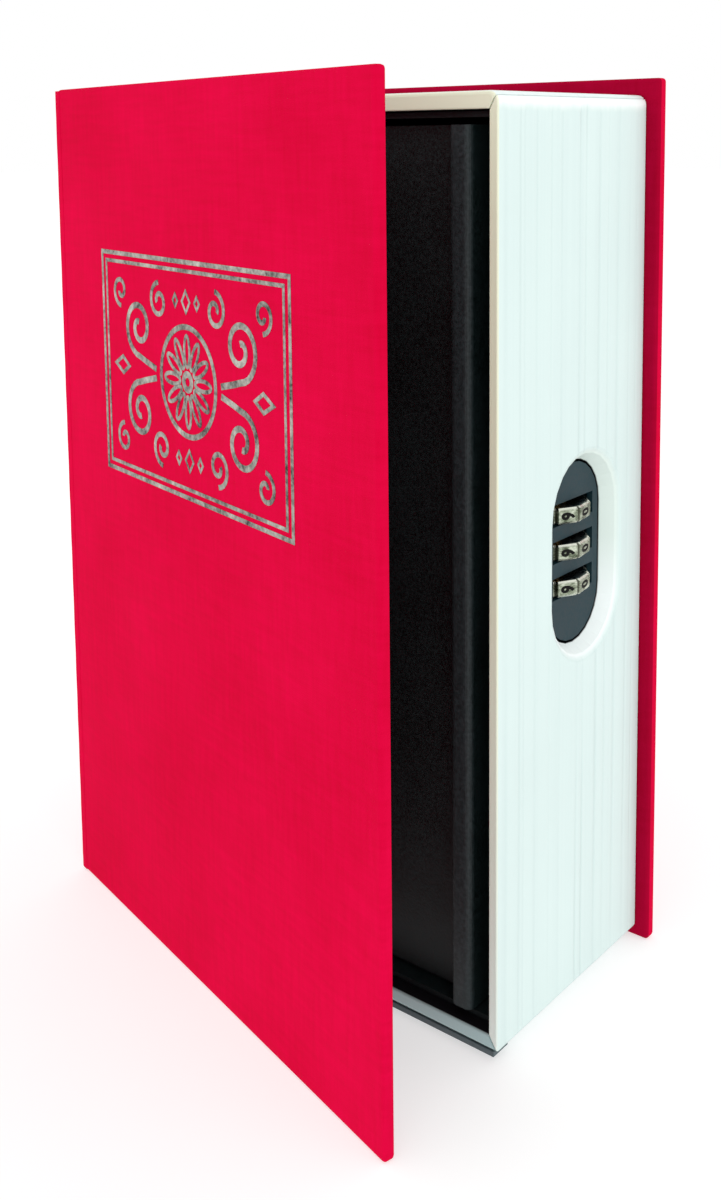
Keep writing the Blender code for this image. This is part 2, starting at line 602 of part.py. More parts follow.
def build_lock_plate():
    """The plate with three windows, on a rim and a flange that the case clamps against the pad."""
    back_x = PLATE_FRONT_X - PLATE_THICK
    flange_x = LOCK_FRONT_X + GAP
    rim_w, rim_h = PLATE_HALF_WIDTH - 0.9 * MM, PLATE_HALF_HEIGHT - 0.9 * MM
    body = prism(stadium(PLATE_HALF_WIDTH, PLATE_HALF_HEIGHT), "X", flange_x, PLATE_FRONT_X)
    plate = add_object("lock_plate", body, "bezel_paint")
    flange_low = (flange_x, LOCK_Y - 13 * MM, RECESS_Z - 21.5 * MM)
    add_to(plate, box(flange_low, (PAD_BACK_X - GAP, LOCK_Y + 13 * MM, RECESS_Z + 21.5 * MM)))
    cut(plate, prism(stadium(rim_w, rim_h), "X", flange_x - 1 * MM, back_x))
    notch_low = (flange_x - 1 * MM, LOCK_Y - 3 * MM, RECESS_Z + 15 * MM)
    cut(plate, box(notch_low, (PAD_BACK_X, LOCK_Y + 3 * MM, RECESS_Z + 23 * MM)))
    for i in range(DIALS):
        z = DIAL_STACK_Z + (i - 1) * DIAL_PITCH + WINDOW_ABOVE_DIAL
        low = (back_x - 1 * MM, LOCK_Y - WINDOW_HALF_WIDTH, z - WINDOW_HEIGHT / 2)
        cut(plate, box(low, (PLATE_FRONT_X + 1 * MM, LOCK_Y + WINDOW_HALF_WIDTH, z + WINDOW_HEIGHT / 2)))


def build_lock_works():
    """Spindle, spacer, bolt, springs and guide screws."""
    floor, ceiling = LOCK_END_Z[0] + LOCK_WALL, LOCK_END_Z[1] - LOCK_WALL
    under_head, above_case = LOCK_END_Z[0] - GAP, LOCK_END_Z[1] + GAP
    profile = [(SPINDLE_HEAD_R, LOCK_END_Z[0] - 1.6 * MM), (SPINDLE_HEAD_R, under_head)]
    profile += [(SPINDLE_R, under_head), (SPINDLE_R, LOCK_END_Z[1] + 1.6 * MM)]
    loops = [[(SPINDLE_X + x, LOCK_Y + y, z) for x, y in circle(r, 20)] for r, z in profile]
    add_object("dial_spindle", rings(loops), "plain_steel")
    axis = (SPINDLE_X, LOCK_Y)
    bore = prism(circle(SPINDLE_R + 0.05 * MM, 20, axis), "Z", 60 * MM, 120 * MM)
    clip = prism(circle(SPINDLE_CLIP_R, 24, axis), "Z", above_case, LOCK_END_Z[1] + 1.1 * MM)
    cut(add_object("spindle_clip", clip, "plain_steel"), bore.copy())
    top = DIAL_STACK_Z + DIAL_PITCH + SLEEVE_TOP + GAP
    spacer = prism(circle(SLEEVE_NECK_R, 24, axis), "Z", top, ceiling - GAP)
    cut(add_object("spindle_spacer", spacer, "brass"), bore)
    first = DIAL_STACK_Z - DIAL_PITCH + SLEEVE_BOTTOM
    coil("dial_stack_spring", "plain_steel", axis, 0.3 * MM, 2.3 * MM, floor + GAP, first - GAP, 5)

    leaf_y = LOCK_SIDE_Y[1] - LOCK_WALL - GAP
    leaf = box((DETENT_X[0], leaf_y - DETENT_THICK, DETENT_Z[0]), (DETENT_X[1], leaf_y, DETENT_Z[1]))
    add_object("detent_leaf", leaf, "plain_steel")
    build_bolt(floor)


def build_bolt(floor):
    """The bolt with a finger over each dial's sleeve, its two guide screws and its spring."""
    front = LOCK_SIDE_Y[0] + LOCK_WALL + GAP
    back = front + BOLT_THICK
    middle = (front + back) / 2
    plate = box((BOLT_X[0], front, BOLT_Z[0]), (BOLT_X[1], back, BOLT_Z[1]))
    bolt = add_object("bolt", plate, "plain_steel")
    foot, taper, tip = NOSE_Z
    nose = [(front, foot), (back, foot), (back, taper)]
    nose += [(middle + 0.1 * MM, tip), (middle - 0.1 * MM, tip), (front, taper)]
    add_to(bolt, prism(nose, "X", *NOSE_X))
    for i in range(DIALS):
        z = DIAL_STACK_Z + (i - 1) * DIAL_PITCH + FINGER_LOW
        finger_low = (SPINDLE_X - 1 * MM, middle, z)
        add_to(bolt, box(finger_low, (SPINDLE_X + 1 * MM, FINGER_REACH_Y, z + FINGER_THICK)))
    for number, z in enumerate(GUIDE_Z, 1):
        slot_low = (GUIDE_X - 1.2 * MM, front - 1 * MM, z - 3.4 * MM)
        cut(bolt, box(slot_low, (GUIDE_X + 1.2 * MM, back + 1 * MM, z + 1.2 * MM)))
        screw(f"bolt_guide_screw_{number}", "plain_steel", "Y", (GUIDE_X, back + GAP, z),
              2.0 * MM, 1.1 * MM, 0.9 * MM, 4.0 * MM, 1)
    spring_at, spring_top = (GUIDE_X, front + 1.6 * MM), BOLT_Z[0] - GAP
    coil("bolt_spring", "plain_steel", spring_at, 0.22 * MM, 1.2 * MM, floor + GAP, spring_top, 4)


def main():
    for old in list(bpy.data.objects):
        bpy.data.objects.remove(old)
    build_case()
    build_page_block()
    build_tray()
    build_door()
    build_lock_case()
    build_dials()
    build_lock_works()


main()
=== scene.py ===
"""Looks of a book safe: cloth cover, false page block, black steel box and door, three-dial lock."""

import json
import math

import bmesh
import bpy
from mathutils import Matrix, Vector


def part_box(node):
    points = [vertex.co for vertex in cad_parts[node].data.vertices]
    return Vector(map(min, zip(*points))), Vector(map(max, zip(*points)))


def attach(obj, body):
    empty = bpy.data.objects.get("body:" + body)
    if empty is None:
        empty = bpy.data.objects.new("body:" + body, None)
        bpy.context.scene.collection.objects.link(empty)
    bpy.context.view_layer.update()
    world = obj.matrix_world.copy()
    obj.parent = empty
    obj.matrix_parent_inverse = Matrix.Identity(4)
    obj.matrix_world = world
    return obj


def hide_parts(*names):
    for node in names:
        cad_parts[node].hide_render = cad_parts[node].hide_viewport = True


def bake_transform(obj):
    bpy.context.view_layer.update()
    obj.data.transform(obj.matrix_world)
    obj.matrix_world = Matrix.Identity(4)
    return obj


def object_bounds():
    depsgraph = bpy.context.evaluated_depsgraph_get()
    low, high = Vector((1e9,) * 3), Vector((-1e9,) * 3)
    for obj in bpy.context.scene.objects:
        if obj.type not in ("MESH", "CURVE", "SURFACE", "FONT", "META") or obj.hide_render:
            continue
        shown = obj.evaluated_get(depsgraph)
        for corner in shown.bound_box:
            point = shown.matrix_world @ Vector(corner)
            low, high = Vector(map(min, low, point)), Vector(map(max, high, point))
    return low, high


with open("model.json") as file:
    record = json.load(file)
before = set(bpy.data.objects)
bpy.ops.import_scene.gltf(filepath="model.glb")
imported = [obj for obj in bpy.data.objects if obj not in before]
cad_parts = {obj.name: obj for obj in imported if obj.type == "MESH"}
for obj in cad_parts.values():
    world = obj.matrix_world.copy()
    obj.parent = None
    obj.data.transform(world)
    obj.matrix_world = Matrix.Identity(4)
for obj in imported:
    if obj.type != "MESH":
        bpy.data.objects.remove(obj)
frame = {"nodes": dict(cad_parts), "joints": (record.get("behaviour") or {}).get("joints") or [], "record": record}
CAD_LOW, CAD_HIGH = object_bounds()
MM = 0.001
scene = bpy.context.scene
scene.view_settings.view_transform = "Standard"
JOINTS = {j["name"]: j for j in frame["joints"]}

# Planes that the pieces are placed from.
PAGE_LOW, PAGE_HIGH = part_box("page_fore_edge")
FORE_X, RIM_Y = PAGE_HIGH.x, PAGE_LOW.y
FOLD = Vector(JOINTS["cover_hinge"]["pos_m"])
COVER_ANGLE = math.radians(-JOINTS["cover_hinge"]["range_deg"][0])
BOARD_LOW, BOARD_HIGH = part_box("front_board")
HEIGHT = BOARD_HIGH.z - BOARD_LOW.z
DIAL_AXIS = Vector(JOINTS["middle_dial_spin"]["pos_m"])
DIAL_PITCH = JOINTS["upper_dial_spin"]["pos_m"][2] - DIAL_AXIS.z
DIGITS = 10
ONE_DIGIT = 2 * math.pi / DIGITS
FACE_TURN = math.radians(7)  # of the dials' faces at rest


def dial_extent():
    """How far a dial's faces lie from its axis, and half its height."""
    facing = Vector((math.cos(FACE_TURN), math.sin(FACE_TURN), 0))
    low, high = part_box("dial_2")
    reach = max((v.co - DIAL_AXIS).dot(facing) for v in frame["nodes"]["dial_2"].data.vertices)
    return reach, (high.z - low.z) / 2


FACE_RADIUS, DIAL_HALF = dial_extent()

# Along the front cover from its hinge, and out of its outer face.
ALONG = Vector((math.cos(COVER_ANGLE), -math.sin(COVER_ANGLE), 0))
OUT = Vector((-math.sin(COVER_ANGLE), -math.cos(COVER_ANGLE), 0))


def board_extent():
    """The front board's reach along the cover and across it, from the fold."""
    points = [v.co - FOLD for v in frame["nodes"]["front_board"].data.vertices]
    along = [p.dot(ALONG) for p in points]
    out = [p.dot(OUT) for p in points]
    return min(along), max(along), min(out), max(out)


BOARD_NEAR, BOARD_FAR, BOARD_IN, BOARD_OUT = board_extent()


def on_cover(a, z, proud=0.0):
    """A point of the cover's outer face, a metres from its hinge-side edge and z metres up."""
    return FOLD + ALONG * (BOARD_NEAR + a) + OUT * (BOARD_OUT + proud) + Vector((0, 0, z - FOLD.z))


# ---------------------------------------------------------------- materials

WAVE_SCALE = 0.314  # of a wave texture whose bands are one metre apart
THREAD_PITCH = 0.42 * MM
# The second of these is the painted highlight under the top edge of the page pieces.
PAGE_SHADE, PAGE_TOP_HIGHLIGHT = (0.64, 0.77, 0.75), (0.90, 0.96, 0.95)
RIM_PALE, RIM_SHADED, RIM_HIGH = (0.72, 0.82, 0.76), (0.34, 0.50, 0.51), (0.80, 0.83, 0.62)


class Nodes:
    """A small builder for one procedural material."""

    def __init__(self, name, roughness, metallic=0.0, **sockets):
        self.mat = bpy.data.materials.new(name)
        self.mat.use_nodes = True
        self.tree = self.mat.node_tree
        self.shader = self.tree.nodes["Principled BSDF"]
        self.shader.inputs["Roughness"].default_value = roughness
        self.shader.inputs["Metallic"].default_value = metallic
        for key, value in sockets.items():
            self.shader.inputs[key.replace("_", " ")].default_value = value
        self.coords = self.tree.nodes.new("ShaderNodeTexCoord").outputs["Object"]
        self.height = None

    @classmethod
    def of(cls, mat):
        """The same builder on a material that is already made."""
        m = cls.__new__(cls)
        m.mat, m.tree, m.height = mat, mat.node_tree, None
        m.shader = m.tree.nodes["Principled BSDF"]
        m.coords = next(n for n in m.tree.nodes if n.type == "TEX_COORD").outputs["Object"]
        return m

    def link(self, a, b):
        self.tree.links.new(a, b)

    def stretched(self, scale):
        """The object's coordinates, scaled along each axis."""
        node = self.tree.nodes.new("ShaderNodeMapping")
        node.inputs["Scale"].default_value = scale
        self.link(self.coords, node.inputs["Vector"])
        return node.outputs["Vector"]

    def noise(self, scale, detail=3.0, stretch=(1, 1, 1)):
        """Noise from 0 to 1."""
        node = self.tree.nodes.new("ShaderNodeTexNoise")
        node.inputs["Scale"].default_value = scale
        node.inputs["Detail"].default_value = detail
        self.link(self.stretched(stretch), node.inputs["Vector"])
        return node.outputs["Fac"]

    def bands(self, pitch, direction, distortion):
        """Sine bands across a direction, pitch metres apart."""
        node = self.tree.nodes.new("ShaderNodeTexWave")
        node.bands_direction = direction
        node.inputs["Scale"].default_value = WAVE_SCALE / pitch
        node.inputs["Distortion"].default_value = distortion
        node.inputs["Detail Scale"].default_value = 2.0
        self.link(self.coords, node.inputs["Vector"])
        return node.outputs["Fac"]

    def ramp(self, value, *stops):
        """A colour that runs through (place, colour) stops."""
        node = self.tree.nodes.new("ShaderNodeValToRGB")
        points = node.color_ramp.elements
        while len(points) < len(stops):
            points.new(0.5)
        for point, (place, colour) in zip(points, stops):
            point.position = place
            point.color = (*colour, 1) if len(colour) == 3 else colour
        self.link(value, node.inputs["Fac"])
        return node.outputs["Color"]

    def grey(self, value, low, high, start=0.0, end=1.0):
        """low to high as value runs from start to end, and clamped there."""
        node = self.tree.nodes.new("ShaderNodeMapRange")
        node.inputs["From Min"].default_value = start
        node.inputs["From Max"].default_value = end
        node.inputs["To Min"].default_value = low
        node.inputs["To Max"].default_value = high
        self.link(value, node.inputs["Value"])
        return node.outputs["Result"]

    def mix(self, a, b, factor, kind="MIX"):
        """Colour a mixed with b. Each of the three is a value or a socket."""
        node = self.tree.nodes.new("ShaderNodeMix")
        node.data_type = "RGBA"
        node.blend_type = kind
        for value, place in ((factor, 0), (a, 6), (b, 7)):
            if isinstance(value, (tuple, float, int)):
                node.inputs[place].default_value = (*value, 1) if isinstance(value, tuple) else value
            else:
                self.link(value, node.inputs[place])
        return node.outputs[2]

    def math(self, kind, a, b=0.0):
        """One sum on values or sockets."""
        node = self.tree.nodes.new("ShaderNodeMath")
        node.operation = kind
        for i, value in enumerate((a, b)):
            if isinstance(value, (float, int)):
                node.inputs[i].default_value = value
            else:
                self.link(value, node.inputs[i])
        return node.outputs[0]

    def part(self, axis):
        """The object's coordinate along an axis, in metres."""
        node = self.tree.nodes.new("ShaderNodeSeparateXYZ")
        self.link(self.coords, node.inputs[0])
        return node.outputs[axis]

    def colour(self, value):
        self.link(value, self.shader.inputs["Base Color"])

    def roughness(self, value):
        self.link(value, self.shader.inputs["Roughness"])

    def bump(self, value, distance, strength=1.0):
        """Relief on top of any that was added before."""
        node = self.tree.nodes.new("ShaderNodeBump")
        node.inputs["Distance"].default_value = distance
        node.inputs["Strength"].default_value = strength
        self.link(value, node.inputs["Height"])
        if self.height is not None:
            self.link(self.height, node.inputs["Normal"])
        self.height = node.outputs["Normal"]
        self.link(self.height, self.shader.inputs["Normal"])


def cloth(name, deep, bright):
    """Fine book cloth: a tight weave, slubs along the threads and faint blotches."""
    m = Nodes(name, 0.75, Specular_IOR_Level=0.02, IOR=1.25)
    threads = m.math("MULTIPLY", m.bands(THREAD_PITCH, "X", 1.2), m.bands(THREAD_PITCH, "Z", 1.2))
    slubs = m.math("ADD", m.noise(900, 2, (1, 1, 0.12)), m.noise(900, 2, (0.12, 0.12, 1)))
    blotch = m.noise(28, 4)
    tone = m.math("ADD", m.math("MULTIPLY", slubs, 0.35), m.math("MULTIPLY", blotch, 0.65))
    m.colour(m.ramp(tone, (0.40, deep), (0.92, bright)))
    m.roughness(m.grey(slubs, 0.54, 0.74, 0.6, 1.4))
    m.bump(threads, 0.02 * MM, 0.5)
    m.bump(slubs, 0.05 * MM, 0.55)
    return m.mat


# Deeper lines between groups of pages: depth behind the rim and width in millimetres, and strength.
PAGE_LINES = (
    (2.6, 1.0, 0.3), (7.2, 0.5, 0.5), (8.6, 0.35, 0.3), (12.5, 0.6, 0.35), (17.4, 0.4, 0.25),
    (21.0, 0.5, 0.35), (27.4, 0.45, 0.7), (29.6, 0.5, 0.75), (34.6, 0.7, 0.65), (38.0, 0.5, 0.3),
    (41.8, 0.9, 0.45), (46.4, 0.6, 0.35), (49.2, 0.4, 0.3),
)


def page_white(name, inside, rim_low, lock_face=False):
    """Moulded white with long lines like the edges of pages, which lie at fixed depths.

    inside is (axis, place, step): past that place, the face inside the opening is painted black as painted
    shade. rim_low is the front rim's colour near the tail, painted shade on the tail piece. A painted highlight
    band runs under the top edge. The piece that holds the lock has a dished recess without lines, with painted
    light low down and painted shade high up.
    """
    m = Nodes(name, 0.42, Specular_IOR_Level=0.4)
    fine = m.noise(1400, 2, (0.004, 1, 0.004))
    broad = m.noise(260, 2, (0.02, 1, 0.02))
    soft = m.noise(30, 3)
    wander = m.math("MULTIPLY", m.math("SUBTRACT", m.noise(40, 2, (0.4, 0.0, 0.4)), 0.5), 0.9 * MM)
    depth = m.math("ADD", m.part(1), wander)
    groove = None
    for place, width, strength in PAGE_LINES:
        off = m.math("ABSOLUTE", m.math("SUBTRACT", depth, RIM_Y + place * MM))
        hollow = m.grey(off, strength, 0.0, 0.0, width * MM)
        groove = hollow if groove is None else m.math("MAXIMUM", groove, hollow)
    patchy = m.grey(m.noise(16, 2, (1.0, 3.0, 1.0)), 0.12, 0.6, 0.35, 0.6)
    # Under the top edge, the lines give way to a painted highlight band with a ragged border.
    ragged = m.math("MULTIPLY", m.noise(420, 2, (0.3, 1, 0.02)), 1.3 * MM)
    top = PAGE_HIGH.z
    below_edge = m.grey(m.math("ADD", m.part(2), ragged), 1.0, 0.0, top - 2.0 * MM, top - 0.5 * MM)
    head_face = m.grey(m.part(2), 0.0, 0.5, top - 0.1 * MM, top - 0.02 * MM)
    lined_area, painted_light_colour = m.math("MAXIMUM", below_edge, head_face), PAGE_TOP_HIGHLIGHT
    if lock_face:
        outside = m.grey(m.part(0), 0.0, 1.0, FORE_X - 0.6 * MM, FORE_X - 0.1 * MM)
        lined_area = m.math("MULTIPLY", lined_area, outside)
        # In the recess: painted light low down, painted shade high up.
        high = m.grey(m.part(2), 0.0, 1.0, DIAL_AXIS.z - 12 * MM, DIAL_AXIS.z)
        dish_painted_light = m.mix((0.90, 0.97, 0.96), (0.74, 0.85, 0.80), high)
        painted_light_colour = m.mix(PAGE_TOP_HIGHLIGHT, dish_painted_light, below_edge)
    lined = m.math("MULTIPLY", patchy, lined_area)
    groove = m.math("MULTIPLY", groove, lined)
    lines = m.math("ADD", m.math("MULTIPLY", fine, 0.4), m.math("MULTIPLY", broad, 0.6))
    base = m.mix(m.ramp(lines, (0.3, PAGE_SHADE), (0.6, (0.69, 0.82, 0.795))),
                 m.ramp(soft, (0.3, PAGE_SHADE), (0.7, (0.70, 0.83, 0.81))), 0.45)
    base = m.mix(painted_light_colour, base, lined_area)
    # The grooves are darkened in colour: painted shade.
    colour = m.mix(base, (0.44, 0.56, 0.56), m.math("MULTIPLY", groove, 0.75))
    # The front rim's colour runs from rim_low near the tail to beige at the top, a painted change of light up the
    # height; on the tail piece rim_low is painted shade.
    rim = m.grey(m.part(1), 1.0, 0.0, RIM_Y + 0.25 * MM, RIM_Y + 0.5 * MM)
    up = m.grey(m.part(2), 0.0, 1.0, PAGE_LOW.z + 4 * MM, PAGE_LOW.z + 90 * MM)
    colour = m.mix(colour, m.mix(rim_low, RIM_HIGH, up), m.math("MULTIPLY", rim, 0.9))
    # Faces inside the opening are painted black: painted shade.
    axis, place, step = inside
    behind = m.grey(m.part(axis), 0.0, 1.0, place, place + step)
    behind = m.math("MULTIPLY", behind, m.math("SUBTRACT", 1.0, rim))
    colour = m.mix(colour, (0.004, 0.004, 0.006), behind)
    m.colour(colour)
    m.roughness(m.grey(soft, 0.36, 0.5))
    m.bump(m.math("MULTIPLY", broad, lined), 0.1 * MM, 0.25)
    m.bump(fine, 0.04 * MM, 0.2)
    m.bump(m.math("SUBTRACT", 1.0, groove), 0.4 * MM, 0.5)
    return m.mat


def powder(name, low, high, roughness, grain, scale=2600, specular=0.5):
    """Fine-textured paint on metal."""
    m = Nodes(name, roughness, Specular_IOR_Level=specular)
    fine, broad = m.noise(scale, 2), m.noise(60, 3)
    tone = m.math("ADD", m.math("MULTIPLY", fine, 0.6), m.math("MULTIPLY", broad, 0.4))
    m.colour(m.ramp(tone, (0.35, low), (0.68, high)))
    m.roughness(m.grey(fine, roughness - 0.08, roughness + 0.14, 0.3, 0.7))
    m.bump(fine, grain, 0.9)
    return m.mat


def door_black(name, flange_highlight):
    """The box's black paint, with a painted highlight in speckles on the front of the door's flange."""
    mat = powder(name, *BLACK_PAINT)
    m = Nodes.of(mat)
    painted = m.shader.inputs["Base Color"].links[0].from_socket
    flange = m.grey(m.part(0), 0.0, 1.0, FORE_X - 11.3 * MM, FORE_X - 11.0 * MM)
    front = m.grey(m.part(1), 1.0, 0.0, RIM_Y + 1.7 * MM, RIM_Y + 2.3 * MM)
    speckle = m.grey(m.noise(1500, 3), 0.35, 1.0, 0.42, 0.62)
    # The flange's front gets a painted highlight in speckles.
    m.colour(m.mix(painted, flange_highlight, m.math("MULTIPLY", m.math("MULTIPLY", flange, front), speckle)))
    return mat


def metal(name, low, high, roughness, stretch=(1, 1, 1), scale=900, grain=0.01 * MM):
    """Plated or turned metal with fine marks along one direction and stained patches."""
    m = Nodes(name, roughness, 1.0)
    marks, stains = m.noise(scale, 3, stretch), m.noise(220, 4)
    tone = m.math("ADD", m.math("MULTIPLY", marks, 0.45), m.math("MULTIPLY", stains, 0.55))
    m.colour(m.ramp(tone, (0.35, low), (0.68, high)))
    m.roughness(m.grey(tone, roughness - 0.08, roughness + 0.12, 0.35, 0.65))
    m.bump(marks, grain, 0.8)
    return m.mat


def dial_metal(name):
    """Bright nickel with a painted highlight along its upper and lower edges, and painted shade in the grooves
    between the faces and on the flat ends.
    """
    m = Nodes(name, 0.26, 1.0)
    x, y = m.math("SUBTRACT", m.part(0), DIAL_AXIS.x), m.math("SUBTRACT", m.part(1), DIAL_AXIS.y)
    turn = m.math("DIVIDE", m.math("SUBTRACT", m.math("ARCTAN2", y, x), FACE_TURN), ONE_DIGIT)
    off_groove = m.math("ABSOLUTE", m.math("SUBTRACT", m.math("FRACT", turn), 0.5))
    groove = m.grey(off_groove, 1.0, 0.0, 0.035, 0.075)
    radius = m.math("SQRT", m.math("ADD", m.math("MULTIPLY", x, x), m.math("MULTIPLY", y, y)))
    end = m.grey(radius, 1.0, 0.0, FACE_RADIUS - 0.9 * MM, FACE_RADIUS - 0.5 * MM)
    row = m.math("DIVIDE", m.math("SUBTRACT", m.part(2), DIAL_AXIS.z), DIAL_PITCH)
    row = m.math("ABSOLUTE", m.math("SUBTRACT", row, m.math("ROUND", row)))
    height = m.math("MULTIPLY", row, DIAL_PITCH)
    edge = m.grey(height, 0.0, 1.0, DIAL_HALF - 0.45 * MM, DIAL_HALF - 0.2 * MM)
    marks, stains = m.noise(1500, 3, (1, 1, 5)), m.noise(520, 3)
    tone = m.math("ADD", m.math("MULTIPLY", marks, 0.4), m.math("MULTIPLY", stains, 0.6))
    colour = m.ramp(tone, (0.40, (0.09, 0.11, 0.07)), (0.52, (0.31, 0.35, 0.26)),
                    (0.62, (0.62, 0.67, 0.55)))
    # Painted highlight along the upper and lower edges of each dial.
    colour = m.mix(colour, (0.86, 0.88, 0.78), m.math("MULTIPLY", edge, 0.75))
    # Painted shade in the grooves between the faces.
    colour = m.mix(colour, (0.05, 0.05, 0.035), m.math("MULTIPLY", groove, 0.85))
    # Painted shade on the dial's flat ends.
    colour = m.mix(colour, (0.03, 0.035, 0.05), m.math("MULTIPLY", end, 0.9))
    m.colour(colour)
    m.roughness(m.grey(tone, 0.18, 0.42, 0.35, 0.65))
    m.bump(marks, 0.01 * MM, 0.8)
    m.bump(m.math("SUBTRACT", 1.0, groove), 0.12 * MM, 0.8)
    return m.mat


# Black paint: darkest and lightest colour, roughness, grain, noise scale and specular level.
BLACK_PAINT = ((0.001, 0.0045, 0.0045), (0.011, 0.021, 0.022), 0.46, 0.05 * MM, 1900, 0.32)

RED = cloth("red_cloth", (0.585, 0.0012, 0.030), (0.735, 0.0026, 0.054))
ENDPAPER = powder("endpaper", (0.29, 0.002, 0.026), (0.37, 0.004, 0.036), 0.75, 0.02 * MM, 1200, 0.1)
RAIL_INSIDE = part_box("page_spine_rail")[1].x - 0.1 * MM
HEAD_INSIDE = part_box("page_head")[0].z + 0.1 * MM
TAIL_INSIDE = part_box("page_tail")[1].z - 0.1 * MM
WHITE = page_white("page_white_spine_rail", (0, RAIL_INSIDE, 0.05 * MM), RIM_PALE)
HEAD_WHITE = page_white("page_white_head", (2, HEAD_INSIDE, -0.05 * MM), RIM_PALE)
TAIL_WHITE = page_white("page_white_tail", (2, TAIL_INSIDE, 0.05 * MM), RIM_SHADED)
LOCK_FACE_WHITE = page_white("page_white_lock_face", (0, FORE_X - 3.1 * MM, -0.25 * MM), RIM_PALE, True)
BLACK = powder("black_powder_coat", *BLACK_PAINT)
DOOR_BLACK = door_black("door_black", (0.020, 0.031, 0.034))
# The dark strip under the tail's rim is painted shade, a dark piece where the rim's lower edge lies in shadow.
TAIL_STRIP_SHADE = powder("edge_strip_painted_shade", (0.05, 0.08, 0.09), (0.09, 0.12, 0.13), 0.6, 0.02 * MM)
PLATE = powder("lock_plate_paint", (0.004, 0.020, 0.028), (0.012, 0.040, 0.051), 0.42, 0.008 * MM,
               1800, 0.22)
NICKEL = dial_metal("dial_nickel_satin")
STEEL = metal("zinc_plated_steel", (0.42, 0.42, 0.41), (0.62, 0.62, 0.60), 0.34)
BRASS = metal("turned_brass", (0.50, 0.34, 0.12), (0.72, 0.52, 0.24), 0.3, (1, 1, 10))
CASTING = metal("zinc_casting", (0.26, 0.27, 0.28), (0.42, 0.43, 0.44), 0.5, scale=1400, grain=0.04 * MM)
INK = powder("digit_fill", (0.002, 0.002, 0.002), (0.010, 0.010, 0.009), 0.6, 0.005 * MM, 2600, 0.12)
FOIL = metal("silver_foil", (0.03, 0.03, 0.026), (0.54, 0.53, 0.47), 0.3, scale=1100, grain=0.1 * MM)


def lined_cloth(name, shade_behind):
    """The back board's cloth, darker on its inner face: painted shade."""
    mat = RED.copy()
    mat.name = name
    m = Nodes.of(mat)
    cloth_colour = m.shader.inputs["Base Color"].links[0].from_socket
    inner_face = m.math("LESS_THAN", m.part(1), shade_behind)
    # The inner face is darkened: painted shade.
    m.colour(m.mix(cloth_colour, (0.55, 0.8, 0.62), inner_face, "MULTIPLY"))
    return mat


BY_SLOT = {
    "cover_cloth": RED, "page_white": WHITE, "edge_strip": TAIL_STRIP_SHADE, "black_paint": BLACK,
    "lock_casting": CASTING, "plate_paint": PLATE, "dial_nickel": NICKEL, "brass": BRASS,
    "plain_steel": STEEL,
}
for entry in frame["record"]["subparts"]:
    obj = frame["nodes"][entry["node"]]
    obj.data.materials.clear()
    obj.data.materials.append(BY_SLOT[entry["material_slot"]])
BACK_LOW, BACK_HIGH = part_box("back_board")
OWN_MATERIAL = {
    "page_head": HEAD_WHITE, "page_tail": TAIL_WHITE, "page_fore_edge": LOCK_FACE_WHITE,
    "inner_door": DOOR_BLACK, "back_board": lined_cloth("back_board_cloth", BACK_LOW.y + 0.7 * MM),
}
for node, material in OWN_MATERIAL.items():
    frame["nodes"][node].data.materials[0] = material


# ---------------------------------------------------------------- geometry helpers

def add(name, bm, material, body, smooth=35):
    """A new piece made from bm, in the model's frame. It rides on a body, unless body is None."""
    bmesh.ops.recalc_face_normals(bm, faces=bm.faces)
    mesh = bpy.data.meshes.new(name)
    bm.to_mesh(mesh)
    bm.free()
    obj = bpy.data.objects.new(name, mesh)
    scene.collection.objects.link(obj)
    mesh.materials.append(material)
    mesh.shade_smooth()
    mesh.set_sharp_from_angle(angle=math.radians(smooth))
    if body:
        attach(obj, body)
    return obj


def loft(bm, loops, closed=False):
    """Quads between matching loops of points. closed also joins the last loop to the first."""
    made = [[bm.verts.new(p) for p in loop] for loop in loops]
    pairs = list(zip(made, made[1:])) + ([(made[-1], made[0])] if closed else [])
    for a, b in pairs:
        for i in range(len(a)):
            j = (i + 1) % len(a)
            bm.faces.new((a[i], a[j], b[j], b[i]))
    return made


def smooth_path(points, steps=5):
    """A Catmull-Rom path through (x, y) points."""
    out = []
    for i in range(len(points) - 1):
        p = [Vector(points[max(0, min(len(points) - 1, i + k))]) for k in (-1, 0, 1, 2)]
        for s in range(steps):
            t = s / steps
            a = p[1] * 2 + (p[2] - p[0]) * t
            a = a + (p[0] * 2 - p[1] * 5 + p[2] * 4 - p[3]) * t * t
            a = a + (p[1] * 3 - p[0] - p[2] * 3 + p[3]) * t * t * t
            out.append((a.x / 2, a.y / 2))
    out.append(tuple(points[-1]))
    return out


# ---------------------------------------------------------------- foil on the front cover

FOIL_PROUD, FOIL_SUNK = 0.06 * MM, 0.02 * MM  # of the stroke's face and its underside
FLATTEST_CORNER = 0.45  # limit on how far a stroke's corner is drawn out

# Everything below is in millimetres along the cover and up it.
FRAME_LINES = (((20.2, 91.7, 100.3, 146.0), 0.9), ((22.0, 89.9, 102.0, 144.3), 0.75))  # sides, width
FOIL_MIDDLE = (55.7, 123.05)
PETALS, PETAL_POINTS, PETAL_WIDTH = 12, 20, 0.8
PETAL_MIDDLE, PETAL_REACH, PETAL_SWING = 5.9, 3.0, 1.0
RINGS = ((1.5, 1.3), (10.6, 1.1))  # radius, width
RING_POINTS = 48
STEM = ((12.6, 0.9), (15.2, 1.5), (17.4, 2.0))
